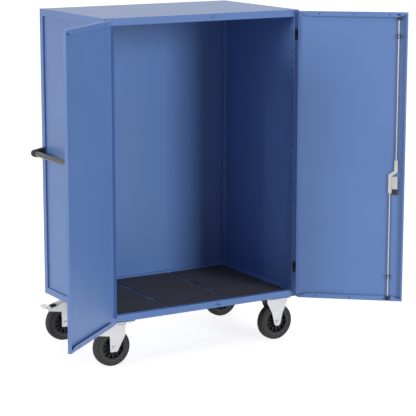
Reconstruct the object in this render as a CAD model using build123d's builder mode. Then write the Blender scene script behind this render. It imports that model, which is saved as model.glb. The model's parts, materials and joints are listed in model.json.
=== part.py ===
from build123d import *
import math
import os

# Cupboard trolley: a tall sheet-steel cupboard with two overlay doors, on two fixed castors and
# two braked swivel castors, pushed by a bar on its left side. Millimetres, +Z up, the floor at
# zero, the door side towards -Y, and +X to the right seen from the doors. The doors stand open.

# Overall sizes
cabinet_width = 1140.0
cabinet_depth = 750.0
cabinet_height = 1540.0
wheel_head_room = 40.0
bearer_drop = 10.0

# Frame profiles and sheets
post_width = 28.0
post_depth = 35.0
rail_height = 35.0
rail_depth = 28.0
profile_wall = 2.0
profile_radius = 1.6
roof_thickness = 1.5
roof_rim = 3.0
panel_thickness = 1.2
panel_recess = 9.0
panel_flange = 12.0
floor_thickness = 2.0
floor_height = 22.0
mat_thickness = 4.0
mat_margin = 2.0
mat_joint = 12.0
mat_corner = 20.0
mat_columns = 3
mat_row_shares = (0.34, 0.365, 0.295)
slot_pitch = 50.0
slot_height = 21.0
slot_width = 6.0
slot_setback = 20.0
slot_first = 70.0
side_hole_radius = 4.0
side_hole_inset = 57.0

# Doors, as hung from hinge pins that stand in front of the frame
door_rest_angle = 140.0
hinge_inset = 8.0
frame_gap = 4.5
door_thickness = 17.0
door_side_overlap = 1.5
door_middle_gap = 4.0
door_top_gap = 4.0
door_bottom_gap = 4.0
door_sheet = 1.2
door_fold_radius = 2.0
lip_width = 25.0
lip_side_width = 9.0
lip_end_width = 8.0
lip_taper = 50.0
lip_hole_radius = 3.5
lip_hole_pitch = 182.0
lip_hole_count = 3
door_relief_width = 10.0
door_relief_height = 30.0

# Hinges
hinge_height = 58.0
hinge_low = 162.0
hinge_high_drop = 129.0
hinge_leaf_width = 26.0
hinge_leaf_thickness = 2.2
hinge_door_leaf = 2.5
hinge_door_leaf_width = 28.0
knuckle_radius = 6.0
knuckle_height = 28.0
knuckle_gap = 0.3
knuckle_door_gap = 0.5
arm_thickness = 4.0
arm_gap = 1.0
arm_round = 2.0
hinge_pin_radius = 3.0
hinge_pin_fit = 0.05
hinge_leaf_relief = 5.6
hinge_screw_radius = 2.5
hinge_screw_head = 4.6
hinge_screw_head_depth = 1.4
hinge_screw_rise = 21.0
hinge_screw_share = 0.67

# Lock on the right door, measured from its free edge and from the cabinet's underside
lock_edge_inset = 61.0
lock_rise = 642.0
rod_spread = 15.0
rod_radius = 4.0
rod_fit = 0.05
top_rod_stop = 26.0
bottom_rod_stop = 28.5
crank_radius = 14.0
crank_rest_angle = 45.0
crank_rim = 2.5
crank_pin_radius = 2.5
crank_slot_play = 0.7
link_width = 18.0
link_thickness = 2.4
link_top_rise = 119.0
link_bend_rise = 56.0
strap_top_rise = 45.0
strap_bottom_drop = 56.0
strap_ear = 3.0
rod_head_gap = 1.5
lower_link_drop = 92.0
lower_link_reach = 22.0
layer_gap = 0.4
lock_base_thickness = 1.4
case_width = 29.0
case_edge = 5.0
case_top_rise = 34.0
case_bottom_drop = 33.0
case_wall = 1.5
case_depth = 13.8
case_round = 1.2
block_width = 24.0
block_height = 31.0
block_depth = 12.0
spindle_radius = 5.0
spindle_fit = 0.05
guide_side = 6.5
guide_height = 17.0
guide_cover = 2.3
guide_round = 2.0
guide_low_rise = 134.0
guide_high_drop = 128.5
guide_end_gap = 1.5
cap_radius = 3.4
cap_height = 1.6
trim_thickness = 2.4
trim_top_width = 32.0
trim_bottom_width = 24.0
trim_height = 20.0
trim_rise = 4.0
keeper_side = 3.5
keeper_thickness = 3.0
keeper_drop = 17.0
keeper_hole_play = 0.5
keeper_sheet_gap = 0.8
keeper_nose = 2.0
keeper_round = 5.3
keeper_flange_width = 30.0
keeper_flange_height = 18.0
keeper_flange_thickness = 2.0
window_play = 2.2

# Turn handle on the outside of the right door
escutcheon_width = 44.0
escutcheon_height = 128.0
escutcheon_thickness = 5.0
escutcheon_round = 10.0
escutcheon_boss_wall = 3.0
handle_hub_radius = 19.0
handle_hub_height = 14.0
handle_grip_length = 96.0
handle_grip_width = 21.0
handle_grip_height = 26.0
handle_tower_radius = 13.0
handle_round = 2.5
handle_gap = 0.3
barrel_radius = 8.0
barrel_depth = 18.0
barrel_proud = 1.0
barrel_fit = 0.05
key_slot_length = 8.0
key_slot_width = 1.6
key_slot_depth = 5.0

# Push handle on the left side
push_rise = 775.0
push_stand_off = 52.0
push_radius = 14.0
push_end_inset = 22.0
push_bracket_width = 30.0
push_cap_wall = 5.0
push_socket_depth = 22.0
push_foot_height = 62.0
push_foot_thickness = 6.0
push_web_half = 27.0
push_bracket_round = 2.0
push_screw_radius = 3.0
push_screw_head = 5.5
push_screw_head_height = 2.5
push_screw_rise = 24.0
push_pocket_play = 0.5

# Castors
swivel_inset = 106.0
fixed_inset = 81.0
castor_depth_inset = 91.0
wheel_radius = 100.0
tyre_width = 50.0
tyre_depth = 29.0
tyre_shoulder = 9.0
tyre_groove = 1.2
tyre_groove_width = 1.6
tyre_groove_shares = (0.34, 0.62)
rim_inset = 4.0
rim_band = 6.0
rim_web = 7.0
rim_rib_thickness = 4.5
rib_inset = 4.2
rim_rib_count = 12
hub_radius = 22.0
hub_play = 0.5
fork_side_gap = 4.0
fork_wall = 4.0
axle_radius = 6.0
sleeve_wall = 4.0
sleeve_fit = 0.05
axle_head_radius = 10.0
axle_head_height = 7.0
plate_length = 128.0
plate_width = 140.0
plate_thickness = 5.0
plate_round = 8.0
plate_hole_radius = 5.5
plate_hole_x = 76.0
plate_hole_y = 105.0
race_radius = 42.0
race_height = 15.0
race_round = 3.0
race_gap = 0.3
race_lower_height = 5.0
crown_thickness = 4.0
kingpin_radius = 8.0
kingpin_fit = 0.05
kingpin_head_radius = 14.0
kingpin_head_height = 5.0
trail = 44.0
castor_bolt_radius = 5.0
castor_bolt_head = 8.5
castor_bolt_head_height = 6.0
castor_nut_height = 8.0
bearer_hole_edge = 14.0
bearer_wall = 4.0

# Fixed fork outline about its axle
fixed_top_half = 63.0
fixed_shoulder_drop = 26.0
fixed_waist_half = 34.0
fixed_waist_rise = 52.0
fixed_end_radius = 21.0

# Swivel fork outline: its front and crown from the swivel axis, the rest from the axle
fork_front = 23.0
fork_front_drop = 52.0
fork_crown_rear = 50.0
fork_foot_front = 20.0
fork_foot_rear = 21.0
fork_foot_drop = 21.0
fork_foot_round = 6.0
fork_arm_depth = 6.0

# Places behind and above the axle, as shares of the wheel's radius
fork_elbow_shares = (0.23, 0.65)
fork_arm_shares = (1.03, 0.78)
fork_fender_share = 0.4
pedal_pin_shares = (0.74, 0.84)
pedal_crest_shares = (0.93, 1.05)
pedal_tip_shares = (1.24, 0.95)

# Brake pedal
pedal_pin_radius = 3.0
pedal_pin_fit = 0.05
pedal_hub_radius = 6.0
pedal_stem_width = 50.0
pedal_plate_width = 75.0
pedal_wall = 3.0
pedal_shoe_gap = 1.55
pedal_shoe_angle = 22.0
pedal_shoe_radius = 3.0

# Values that many pieces share
cut = 4.0
edge_break_share = 0.2
half_turn = 180.0
quarter_turn = 90.0
hex_sides = 6

# Places that follow from the sizes above
castor_height = 2 * wheel_radius + wheel_head_room
cabinet_bottom = castor_height + bearer_drop
frame_height = cabinet_height - roof_thickness
half_width = cabinet_width / 2
half_depth = cabinet_depth / 2
pin_stand_off = knuckle_radius + knuckle_door_gap
door_inner = pin_stand_off + door_thickness
pin_to_frame = door_inner + frame_gap
pin_x = half_width - hinge_inset
door_reach = pin_x - door_middle_gap
lock_reach = door_reach - lock_edge_inset
open_sine = math.sin(math.radians(half_turn - door_rest_angle))
open_cosine = math.cos(math.radians(half_turn - door_rest_angle))
# The open doors reach out in front, so the cabinet's centre stands back to keep the whole box centred
front_reach = half_depth + pin_to_frame + door_reach * open_sine + door_inner * open_cosine
cabinet_y = round((front_reach - half_depth) / 2, 1)
front_y = cabinet_y - half_depth
pin_y = front_y - pin_to_frame
door_bottom = door_bottom_gap
door_top = cabinet_height - door_top_gap
rail_inner = half_depth - rail_depth
post_inner_x = half_width - post_width
post_inner_y = half_depth - post_depth
sheet_face = pin_stand_off + door_sheet
escutcheon_boss = spindle_radius + escutcheon_boss_wall
keeper_width = 2 * (rod_radius + keeper_hole_play + keeper_side)
rod_stand_off = sheet_face + keeper_sheet_gap + keeper_nose + keeper_hole_play + rod_radius
swivel_x = swivel_inset - half_width
fixed_x = half_width - fixed_inset
castor_y = half_depth - castor_depth_inset
axle_height = wheel_radius
tyre_inner_radius = wheel_radius - tyre_depth
rim_width = tyre_width - 2 * rim_inset
rib_width = rim_width - 2 * rib_inset
fork_gap = tyre_width + 2 * fork_side_gap
sleeve_radius = axle_radius + sleeve_wall
bearer_width = plate_hole_x + 2 * bearer_hole_edge
castor_signs = (-1, 1)

os.makedirs("parts", exist_ok=True)


def block(x, y, z, mode=Mode.ADD):
    """A box in the current part, between the two values given for each direction."""
    with Locations(((x[0] + x[1]) / 2, (y[0] + y[1]) / 2, (z[0] + z[1]) / 2)):
        Box(x[1] - x[0], y[1] - y[0], z[1] - z[0], mode=mode)


def rod(centre, axis, radius, length, mode=Mode.ADD):
    """A cylinder in the current part, centred on a point and lying along an axis direction."""
    with Locations(Plane(origin=centre, z_dir=axis).location):
        Cylinder(radius, length, mode=mode)


def save(shape, name):
    """Label a finished piece and write it as its own file."""
    shape.label = name
    export_step(shape, f"parts/{name}.step")


def group(shapes):
    """Several separate solids that share one node."""
    return Compound(children=list(shapes))


def in_cabinet(shape):
    """Move a piece from the cabinet's own frame, centred on its underside, to its place."""
    return shape.moved(Location((0, cabinet_y, cabinet_bottom)))


def hang(shape, side):
    """Place a piece drawn in the left door's closed frame, about its hinge pin, on the open door."""
    placed = shape.moved(Location((-pin_x, pin_y, cabinet_bottom), (0, 0, -door_rest_angle)))
    return placed if side == "left" else mirror(placed, about=Plane.YZ)


def stand(shape, side):
    """Place a fixed hinge piece, drawn in the left door's closed frame, on the frame."""
    placed = shape.moved(Location((-pin_x, pin_y, cabinet_bottom)))
    return placed if side == "left" else mirror(placed, about=Plane.YZ)


# Frame posts: folded box sections with hook slots for shelves in the faces that look inwards
def corner_post(x_sign, y_sign):
    slot_count = int((cabinet_height - 2 * slot_first) / slot_pitch) + 1
    outer_x = x_sign * half_width
    inner_x = x_sign * post_inner_x
    outer_y = y_sign * half_depth
    slot_y = y_sign * (half_depth - slot_setback)
    with BuildPart() as post:
        block(sorted((inner_x, outer_x)), sorted((y_sign * post_inner_y, outer_y)), (0, frame_height))
        fillet(post.edges().filter_by(Axis.Z), profile_radius)
        centre_x = (inner_x + outer_x) / 2
        centre_y = (outer_y + y_sign * post_inner_y) / 2
        with Locations((centre_x, centre_y, frame_height / 2)):
            Box(post_width - 2 * profile_wall, post_depth - 2 * profile_wall,
                frame_height - 2 * profile_wall, mode=Mode.SUBTRACT)
        slots = [(inner_x, slot_y, slot_first + n * slot_pitch) for n in range(slot_count)]
        with Locations(*slots):
            Box(profile_wall + cut, slot_width, slot_height, mode=Mode.SUBTRACT)
        for hole_z in (side_hole_inset, cabinet_height - side_hole_inset):
            rod((outer_x, centre_y, hole_z), (1, 0, 0), side_hole_radius, cut, Mode.SUBTRACT)
    return post.part


for x_name, x_sign in (("left", -1), ("right", 1)):
    for y_name, y_sign in (("front", -1), ("rear", 1)):
        save(in_cabinet(corner_post(x_sign, y_sign)), f"post_{y_name}_{x_name}")


# Rails: box sections between the posts, at the bottom and at the top
def cross_rail(y_sign, low):
    """A rail across the front or the rear."""
    with BuildPart() as rail:
        y_range = sorted((y_sign * half_depth, y_sign * rail_inner))
        block((-post_inner_x, post_inner_x), y_range, (low, low + rail_height))
        fillet(rail.edges().filter_by(Axis.X), profile_radius)
        with Locations((0, y_sign * (half_depth + rail_inner) / 2, low + rail_height / 2)):
            Box(2 * post_inner_x, rail_depth - 2 * profile_wall, rail_height - 2 * profile_wall,
                mode=Mode.SUBTRACT)
    return rail.part


def side_rail(x_sign, low):
    """A rail along a side."""
    with BuildPart() as rail:
        x_range = sorted((x_sign * half_width, x_sign * (half_width - rail_depth)))
        block(x_range, (-post_inner_y, post_inner_y), (low, low + rail_height))
        fillet(rail.edges().filter_by(Axis.Y), profile_radius)
        with Locations((x_sign * (half_width - rail_depth / 2), 0, low + rail_height / 2)):
            Box(rail_depth - 2 * profile_wall, 2 * post_inner_y, rail_height - 2 * profile_wall,
                mode=Mode.SUBTRACT)
    return rail.part


for level, low in (("bottom", 0), ("top", frame_height - rail_height)):
    save(in_cabinet(cross_rail(-1, low)), f"{level}_front_rail")
    save(in_cabinet(cross_rail(1, low)), f"{level}_rear_rail")
    save(group(in_cabinet(side_rail(s, low)) for s in castor_signs), f"{level}_side_rails")


# Sheets: the roof lies on the frame, the floor between the bottom rails, the walls behind their frames
with BuildPart() as roof_sheet:
    block((roof_rim - half_width, half_width - roof_rim), (roof_rim - half_depth, half_depth - roof_rim),
          (frame_height, cabinet_height))
    chamfer(roof_sheet.edges().group_by(Axis.Z)[-1], roof_thickness * edge_break_share)
save(in_cabinet(roof_sheet.part), "roof_sheet")

with BuildPart() as floor_sheet:
    block((-post_inner_x, post_inner_x), (-rail_inner, rail_inner),
          (floor_height, floor_height + floor_thickness))
    for x_sign in castor_signs:
        for y_sign in castor_signs:
            block(sorted((x_sign * post_inner_x, x_sign * (post_inner_x + cut))),
                  sorted((y_sign * post_inner_y, y_sign * (rail_inner + cut))),
                  (floor_height - cut, floor_height + floor_thickness + cut), Mode.SUBTRACT)
save(in_cabinet(floor_sheet.part), "floor_sheet")

with BuildPart() as floor_mat:
    pitch_x = (2 * (post_inner_x - mat_margin) + mat_joint) / mat_columns
    mat_depth = 2 * (rail_inner - mat_margin) + mat_joint
    row_front = -mat_depth / 2
    with BuildSketch(Plane.XY.offset(floor_height + floor_thickness)):
        for share in mat_row_shares:
            with Locations((0, row_front + share * mat_depth / 2)):
                with GridLocations(pitch_x, 0, mat_columns, 1):
                    RectangleRounded(pitch_x - mat_joint, share * mat_depth - mat_joint, mat_corner)
            row_front += share * mat_depth
    extrude(amount=mat_thickness)
save(in_cabinet(floor_mat.part), "floor_mat")


def wall_panel(width, face, outward):
    """A wall sheet with folded edges, drawn upright about the origin, its face looking along +Y."""
    low, high = rail_height, frame_height - rail_height
    with BuildPart() as panel:
        block((-width / 2, width / 2), (-panel_flange, 0), (low, high))
        fillet(panel.faces().sort_by(Axis.Y)[-1].edges(), profile_radius)
        block((panel_thickness - width / 2, width / 2 - panel_thickness),
              (-panel_flange - cut, -panel_thickness),
              (low + panel_thickness, high - panel_thickness), Mode.SUBTRACT)
    return panel.part.moved(Location((0, 0, 0), (0, 0, outward))).moved(Location(face))


side_face = half_width - panel_recess
back_face = half_depth - panel_recess
save(in_cabinet(wall_panel(2 * post_inner_y, (-side_face, 0, 0), quarter_turn)), "side_panel_left")
save(in_cabinet(wall_panel(2 * post_inner_y, (side_face, 0, 0), -quarter_turn)), "side_panel_right")
save(in_cabinet(wall_panel(2 * post_inner_x, (0, back_face, 0), 0)), "back_panel")


# Castor bearers: channels from front to rear under the floor, which the castor plates bolt to
def bearer(x):
    hole_spots = [
        (x + x_sign * plate_hole_x / 2, y_sign * castor_y + hole_sign * plate_hole_y / 2, -bearer_drop)
        for x_sign in castor_signs for y_sign in castor_signs for hole_sign in castor_signs
    ]
    with BuildPart() as channel:
        block((x - bearer_width / 2, x + bearer_width / 2), (-rail_inner, rail_inner),
              (-bearer_drop, floor_height))
        block((x - bearer_width / 2 + bearer_wall, x + bearer_width / 2 - bearer_wall),
              (-rail_inner - cut, rail_inner + cut), (bearer_wall - bearer_drop, floor_height + cut),
              Mode.SUBTRACT)
        with Locations(*hole_spots):
            Cylinder(plate_hole_radius, 2 * bearer_wall + cut, mode=Mode.SUBTRACT)
    return channel.part


save(group(in_cabinet(bearer(x)) for x in (swivel_x, fixed_x)), "castor_bearers")


# Doors: shallow folded pans whose top and bottom edges return inwards as lips
def door_pan(with_lock):
    lip_y = (door_inner - door_sheet, door_inner)
    span = (-door_side_overlap - hinge_inset, door_reach)
    lip_start = span[0] + door_relief_width
    middle = (lip_start + span[1]) / 2
    with BuildPart() as pan:
        block(span, (pin_stand_off, door_inner), (door_bottom, door_top))
        fillet(pan.faces().sort_by(Axis.Y)[0].edges(), door_fold_radius)
        block((span[0] + door_sheet, span[1] - door_sheet), (sheet_face, door_inner + cut),
              (door_bottom + door_sheet, door_top - door_sheet), Mode.SUBTRACT)
        for edge, inwards in ((door_bottom, 1), (door_top, -1)):
            with BuildSketch(Plane.XZ.offset(-lip_y[0])):
                with BuildLine():
                    Polyline(
                        (lip_start, edge), (span[1], edge),
                        (span[1], edge + inwards * lip_end_width),
                        (span[1] - lip_taper, edge + inwards * lip_width),
                        (lip_start + lip_taper, edge + inwards * lip_width),
                        (lip_start, edge + inwards * lip_end_width), close=True)
                make_face()
                with Locations((middle, edge + inwards * lip_width / 2)):
                    with GridLocations(lip_hole_pitch, 0, lip_hole_count, 1):
                        Circle(lip_hole_radius, mode=Mode.SUBTRACT)
            extrude(amount=-door_sheet)
            relief_z = sorted((edge - inwards * cut, edge + inwards * door_relief_height))
            block((span[0] - cut, lip_start), (sheet_face, door_inner + cut), relief_z, Mode.SUBTRACT)
        block((span[1] - lip_side_width, span[1]), lip_y,
              (door_bottom + door_sheet, door_top - door_sheet))
        if with_lock:
            rod((lock_reach, pin_stand_off, lock_rise), (0, 1, 0), escutcheon_boss, cut, Mode.SUBTRACT)
            for reach, level in keeper_places:
                block((reach - keeper_width / 2 - window_play, reach + keeper_width / 2 + window_play),
                      (lip_y[0] - cut, lip_y[1] + cut),
                      (level - keeper_thickness / 2 - window_play,
                       level + keeper_thickness / 2 + window_play), Mode.SUBTRACT)
    return pan.part


# The upper rod runs nearer the door's free edge than the lower one, either side of the spindle
upper_reach = lock_reach + rod_spread
lower_reach = lock_reach - rod_spread
keeper_places = (
    (upper_reach, cabinet_height - keeper_drop),
    (lower_reach, keeper_drop),
)
save(hang(door_pan(False), "left"), "door_left_pan")
save(hang(door_pan(True), "right"), "door_right_pan")


# Hinges: a fixed leaf whose arm reaches round the door's edge to the middle knuckle, and a door leaf
# with two knuckles
arm_inner = -door_side_overlap - hinge_inset - arm_gap
arm_outer = arm_inner - arm_thickness


def hinge_frame_leaf(level):
    low, high = level - knuckle_height / 2, level + knuckle_height / 2
    leaf_start = -hinge_inset
    screw_x = leaf_start + hinge_leaf_width * hinge_screw_share
    leaf_front = pin_to_frame - hinge_leaf_thickness
    with BuildPart() as leaf:
        block((arm_outer, arm_inner), (-knuckle_radius, pin_to_frame), (low, high))
        fillet(leaf.edges().filter_by(Axis.Z).sort_by(Axis.X)[:2], arm_round)
        block((arm_inner - arm_round, 0), (-knuckle_radius, arm_thickness - knuckle_radius), (low, high))
        block((arm_inner - arm_round, leaf_start), (leaf_front, pin_to_frame), (low, high))
        block((leaf_start, leaf_start + hinge_leaf_width), (leaf_front, pin_to_frame),
              (level - hinge_height / 2, level + hinge_height / 2))
        rod((0, 0, level), (0, 0, 1), knuckle_radius, knuckle_height)
        rod((0, 0, level), (0, 0, 1), hinge_pin_radius, knuckle_height + cut, Mode.SUBTRACT)
        for rise in (-hinge_screw_rise, hinge_screw_rise):
            rod((screw_x, pin_to_frame, level + rise), (0, 1, 0), hinge_screw_radius,
                2 * hinge_leaf_thickness + cut, Mode.SUBTRACT)
            rod((screw_x, leaf_front, level + rise), (0, 1, 0), hinge_screw_head,
                2 * hinge_screw_head_depth, Mode.SUBTRACT)
    return leaf.part


def hinge_screw(level, rise):
    """A flush screw through the fixed leaf into the post."""
    screw_x = hinge_leaf_width * hinge_screw_share - hinge_inset
    head_y = pin_to_frame - hinge_leaf_thickness
    with BuildPart() as screw:
        rod((screw_x, head_y + hinge_screw_head_depth / 2, level + rise), (0, 1, 0), hinge_screw_head,
            hinge_screw_head_depth)
        rod((screw_x, head_y + hinge_leaf_thickness / 2, level + rise), (0, 1, 0), hinge_screw_radius,
            hinge_leaf_thickness)
    return screw.part


def hinge_pin(level):
    with BuildPart() as pin:
        rod((0, 0, level), (0, 0, 1), hinge_pin_radius, hinge_height)
        chamfer(pin.edges(), hinge_pin_radius * edge_break_share)
    return pin.part


def hinge_door_leaves(level):
    outer_high = (level + knuckle_height / 2 + knuckle_gap, level + hinge_height / 2)
    outer_low = (level - hinge_height / 2, level - knuckle_height / 2 - knuckle_gap)
    leaf_y = (pin_stand_off - hinge_door_leaf, pin_stand_off)
    with BuildPart() as leaf:
        block((hinge_leaf_relief, hinge_leaf_relief + hinge_door_leaf_width), leaf_y,
              (level - hinge_height / 2, level + hinge_height / 2))
        block((hinge_leaf_relief - cut, arm_gap - arm_outer), (leaf_y[0] - cut, leaf_y[1] + cut),
              (outer_low[1], outer_high[0]), Mode.SUBTRACT)
        for low, high in (outer_low, outer_high):
            block((0, hinge_leaf_relief), leaf_y, (low, high))
            rod((0, 0, (low + high) / 2), (0, 0, 1), knuckle_radius, high - low)
            rod((0, 0, (low + high) / 2), (0, 0, 1), hinge_pin_radius + hinge_pin_fit,
                high - low + cut, Mode.SUBTRACT)
    return leaf.part


hinge_levels = (hinge_low, cabinet_height - hinge_high_drop)
sides = ("left", "right")
screw_rises = (-hinge_screw_rise, hinge_screw_rise)
save(group(stand(hinge_frame_leaf(z), s) for s in sides for z in hinge_levels), "hinge_frame_leaves")
save(group(stand(hinge_pin(z), s) for s in sides for z in hinge_levels), "hinge_pins")
save(group(stand(hinge_screw(z, rise), s) for s in sides for z in hinge_levels for rise in screw_rises),
     "hinge_screws")
for side in sides:
    save(group(hang(hinge_door_leaves(z), side) for z in hinge_levels), f"door_{side}_hinge_leaves")


# Lock keepers: eyes on the front rails that the rod ends slide through
def keeper(reach, level):
    nose = sheet_face + keeper_sheet_gap
    with BuildPart() as eye:
        block((reach - keeper_width / 2, reach + keeper_width / 2), (nose, pin_to_frame),
              (level - keeper_thickness / 2, level + keeper_thickness / 2))
        fillet(eye.edges().filter_by(Axis.Z).group_by(Axis.Y)[0], keeper_round)
        rod((reach, rod_stand_off, level), (0, 0, 1), rod_radius + keeper_hole_play,
            keeper_thickness + cut, Mode.SUBTRACT)
        block((reach - keeper_flange_width / 2, reach + keeper_flange_width / 2),
              (pin_to_frame - keeper_flange_thickness, pin_to_frame),
              (level - keeper_flange_height / 2, level + keeper_flange_height / 2))
    return eye.part


save(group(stand(keeper(reach, level), "right") for reach, level in keeper_places), "lock_keepers")

# Lock layers, outwards from the door sheet: base plate, lower link, crank plate, upper link, case
base_layer = (sheet_face, sheet_face + lock_base_thickness)
lower_layer = (base_layer[1] + layer_gap, base_layer[1] + layer_gap + link_thickness)
crank_layer = (lower_layer[1] + layer_gap, lower_layer[1] + layer_gap + link_thickness)
upper_layer = (crank_layer[1] + layer_gap, crank_layer[1] + layer_gap + link_thickness)
case_left = lock_reach - case_edge
case_right = case_left + case_width
case_front = sheet_face + case_depth
crank_plate = crank_radius + crank_pin_radius + crank_rim
crank_swing = crank_radius * math.cos(math.radians(crank_rest_angle))
crank_bow = crank_radius - crank_swing
slot_half_width = crank_pin_radius + crank_bow / 2 + crank_slot_play
slot_centre = crank_radius - crank_bow / 2
link_inner = lock_reach + spindle_radius + layer_gap
bar_top = lock_rise - spindle_radius - layer_gap
bar_lowest = bar_top - link_width - 2 * crank_swing
guide_width = 2 * (rod_radius + guide_side)
guide_depth = rod_stand_off + rod_radius + guide_cover - sheet_face


with BuildPart() as lock_case:
    case_low, case_high = lock_rise - case_bottom_drop, lock_rise + case_top_rise
    block((case_left, case_right), (sheet_face, case_front), (case_low, case_high))
    fillet(lock_case.faces().sort_by(Axis.Y)[-1].edges(), case_round)
    block((case_left - cut, case_right - case_wall), (base_layer[1], case_front - case_wall),
          (case_low - cut, case_high - case_wall), Mode.SUBTRACT)
    block((lock_reach - crank_plate - case_wall, case_left), base_layer, (case_low, case_high))
    rod((lock_reach, sheet_face, lock_rise), (0, 1, 0), spindle_radius + spindle_fit, cut,
        Mode.SUBTRACT)
save(hang(lock_case.part, "right"), "lock_case")

with BuildPart() as lock_guide_block:
    block((case_right - block_width, case_right), (sheet_face, sheet_face + block_depth),
          (case_low - block_height, case_low - layer_gap))
    fillet(lock_guide_block.faces().sort_by(Axis.Y)[-1].edges(), case_round)
    block((case_right - block_width - cut, case_right - case_wall), (sheet_face - cut, crank_layer[0]),
          (bar_lowest - layer_gap, case_low + cut), Mode.SUBTRACT)
save(hang(lock_guide_block.part, "right"), "lock_guide_block")

with BuildPart() as lock_spindle:
    rod((lock_reach, (crank_layer[0] + crank_layer[1]) / 2, lock_rise), (0, 1, 0), crank_plate,
        link_thickness)
    shaft_length = crank_layer[0] - pin_stand_off + escutcheon_thickness + handle_hub_height / 2
    rod((lock_reach, crank_layer[0] - shaft_length / 2, lock_rise), (0, 1, 0), spindle_radius,
        shaft_length)
    for pin_sign, layer in ((-1, upper_layer), (1, lower_layer)):
        pin_range = (min(layer[0], crank_layer[0]), max(layer[1], crank_layer[1]))
        pin_centre = (lock_reach + pin_sign * crank_swing, (pin_range[0] + pin_range[1]) / 2,
                      lock_rise + pin_sign * crank_swing)
        rod(pin_centre, (0, 1, 0), crank_pin_radius, pin_range[1] - pin_range[0])
save(hang(lock_spindle.part, "right"), "lock_spindle")


def crank_slot(x, z):
    """A level slot that a crank pin slides along as it turns."""
    with Locations((x, z)):
        Rectangle(2 * slot_half_width, 2 * (crank_pin_radius + crank_slot_play), mode=Mode.SUBTRACT)


with BuildPart() as upper_rod:
    link_left, link_right = upper_reach - link_width / 2, upper_reach + link_width / 2
    strap_left, strap_right = lower_reach - link_width / 2, lower_reach + link_width / 2
    with BuildSketch(Plane.XZ.offset(-upper_layer[0])):
        with BuildLine():
            Polyline(
                (link_left, lock_rise + link_top_rise), (link_right, lock_rise + link_top_rise),
                (link_right, lock_rise + link_bend_rise),
                (strap_right, lock_rise + strap_top_rise - link_width / 2),
                (strap_right, lock_rise),
                (strap_right + strap_ear, lock_rise),
                (strap_right + strap_ear, lock_rise - link_width),
                (strap_right, lock_rise - link_width),
                (strap_right, lock_rise - strap_bottom_drop),
                (strap_left, lock_rise - strap_bottom_drop),
                (strap_left, lock_rise + strap_top_rise),
                (link_left, lock_rise + link_bend_rise + link_width / 2), close=True)
        make_face()
        crank_slot(lock_reach - slot_centre, lock_rise - crank_swing)
    extrude(amount=-link_thickness)
    rod_foot = lock_rise + link_top_rise - link_width
    rod_tip = cabinet_height - top_rod_stop
    rod((upper_reach, rod_stand_off, (rod_foot + rod_tip) / 2), (0, 0, 1), rod_radius,
        rod_tip - rod_foot)
save(hang(upper_rod.part, "right"), "upper_rod")

with BuildPart() as lower_rod:
    link_low = lock_rise - lower_link_drop
    link_top = lock_rise + crank_swing + link_width / 2
    link_right = lock_reach + lower_link_reach
    rod_left, rod_right = lower_reach - rod_radius, lower_reach + rod_radius
    rod_head = lock_rise - strap_bottom_drop - rod_head_gap
    with BuildSketch(Plane.XZ.offset(-lower_layer[0])):
        with BuildLine():
            Polyline(
                (rod_left, link_low - link_width), (rod_right, link_low - link_width),
                (rod_right, bar_top - link_width), (link_right, bar_top - link_width),
                (link_right, link_top), (link_inner, link_top), (link_inner, bar_top),
                (rod_left, bar_top), close=True)
        make_face()
        crank_slot(lock_reach + slot_centre, lock_rise + crank_swing)
    extrude(amount=-link_thickness)
    rod((lower_reach, rod_stand_off, (rod_head + bottom_rod_stop) / 2), (0, 0, 1), rod_radius,
        rod_head - bottom_rod_stop)
    block((rod_left, rod_right), (lower_layer[0], rod_stand_off), (link_low - link_width, link_low))
save(hang(lower_rod.part, "right"), "lower_rod")


# Rod guides: moulded saddles on the door sheet, two on the upper rod and one on the lower
def rod_guide(reach, level):
    with BuildPart() as saddle:
        block((reach - guide_width / 2, reach + guide_width / 2), (sheet_face, sheet_face + guide_depth),
              (level - guide_height / 2, level + guide_height / 2))
        fillet(saddle.edges().filter_by(Axis.Z), guide_round)
        rod((reach, rod_stand_off, level), (0, 0, 1), rod_radius + rod_fit, guide_height + cut,
            Mode.SUBTRACT)
    return saddle.part


top_guide = (upper_reach, cabinet_height - top_rod_stop - guide_end_gap - guide_height / 2)
middle_guides = ((upper_reach, cabinet_height - guide_high_drop), (lower_reach, guide_low_rise))
guide_places = (top_guide, *middle_guides)
save(group(hang(rod_guide(*place), "right") for place in guide_places), "rod_guides")


def guide_cap(reach, level):
    """The bright head of the pin that holds a middle guide."""
    with BuildPart() as cap:
        rod((reach, sheet_face + guide_depth + cap_height / 2, level), (0, 1, 0), cap_radius, cap_height)
        fillet(cap.faces().sort_by(Axis.Y)[-1].edges(), cap_height / 2)
    return cap.part


save(group(hang(guide_cap(*place), "right") for place in middle_guides), "guide_caps")

with BuildPart() as keeper_trim:
    trim_low = door_bottom + door_sheet + trim_rise
    trim_reach, trim_level = keeper_places[1]
    with BuildSketch(Plane.XZ.offset(-door_inner)):
        with BuildLine():
            Polyline(
                (trim_reach - trim_bottom_width / 2, trim_low),
                (trim_reach + trim_bottom_width / 2, trim_low),
                (trim_reach + trim_top_width / 2, trim_low + trim_height),
                (trim_reach - trim_top_width / 2, trim_low + trim_height), close=True)
        make_face()
        with Locations((trim_reach, trim_level)):
            Rectangle(keeper_width + 2 * window_play, keeper_thickness + 2 * window_play,
                      mode=Mode.SUBTRACT)
    extrude(amount=-trim_thickness)
save(hang(keeper_trim.part, "right"), "keeper_trim")

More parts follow.
